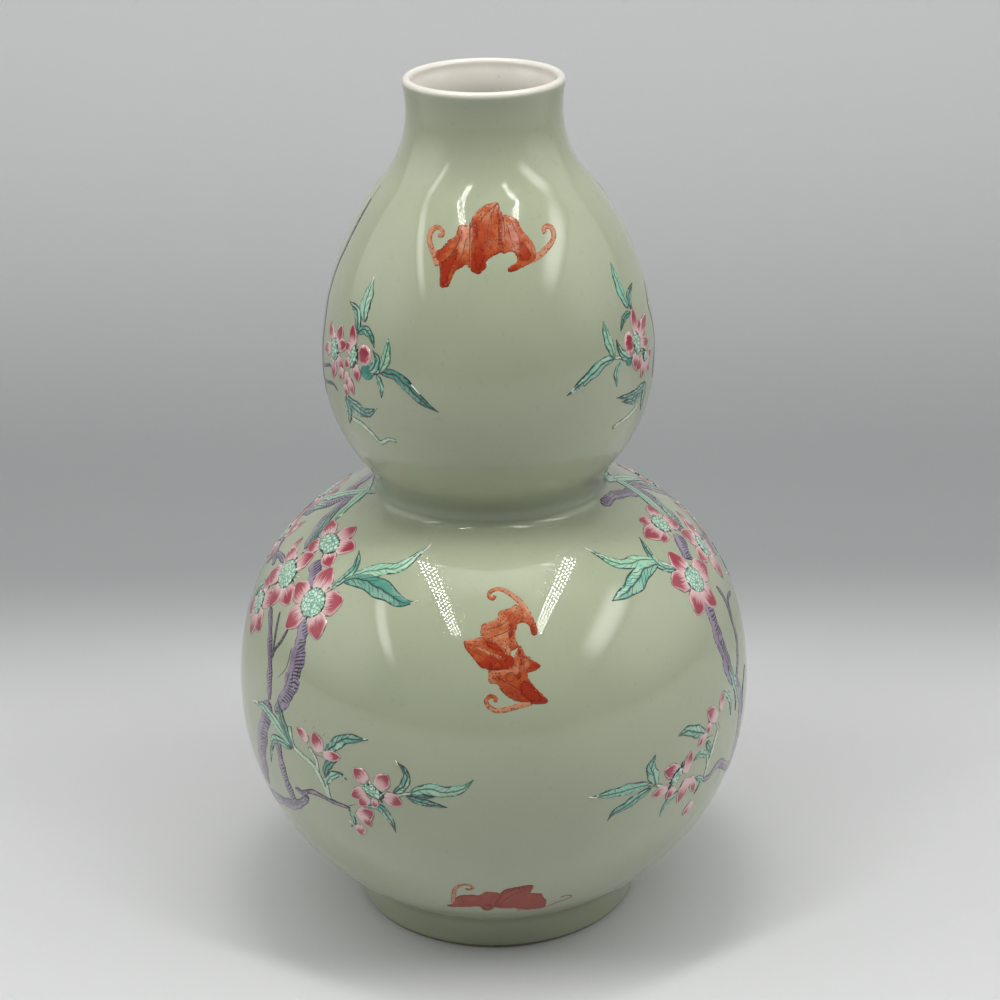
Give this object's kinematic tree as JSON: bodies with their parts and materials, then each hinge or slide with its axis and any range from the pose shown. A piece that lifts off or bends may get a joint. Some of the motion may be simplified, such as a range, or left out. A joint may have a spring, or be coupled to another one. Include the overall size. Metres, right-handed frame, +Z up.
{
  "type": "double gourd vase",
  "caption": "Double gourd porcelain vase: a round lower bulb, a drawn-in waist, a pear-shaped upper bulb, a short open neck and a turned foot ring.",
  "frame": {"origin": "centre of the resting plane under the foot ring", "axes": "+Z up the vase's axis, -Y towards the side that faces the viewer, with the bats on it"},
  "size_m": [0.2044, 0.2044, 0.34],
  "materials": {
    "glazed_porcelain": "glossy",
    "porcelain_slip": "matte",
    "celadon_glaze": "glossy",
    "overglaze_enamel": "satin"
  },
  "bodies": {
    "root": {"base_section": "glazed_porcelain", "lower_shoulder": "glazed_porcelain", "upper_bowl": "glazed_porcelain", "upper_shoulder": "glazed_porcelain", "mouth_collar": "glazed_porcelain", "belly_slip_joint": "porcelain_slip", "waist_slip_joint": "porcelain_slip", "upper_belly_slip_joint": "porcelain_slip", "neck_slip_joint": "porcelain_slip"}
  },
  "joints": []
}
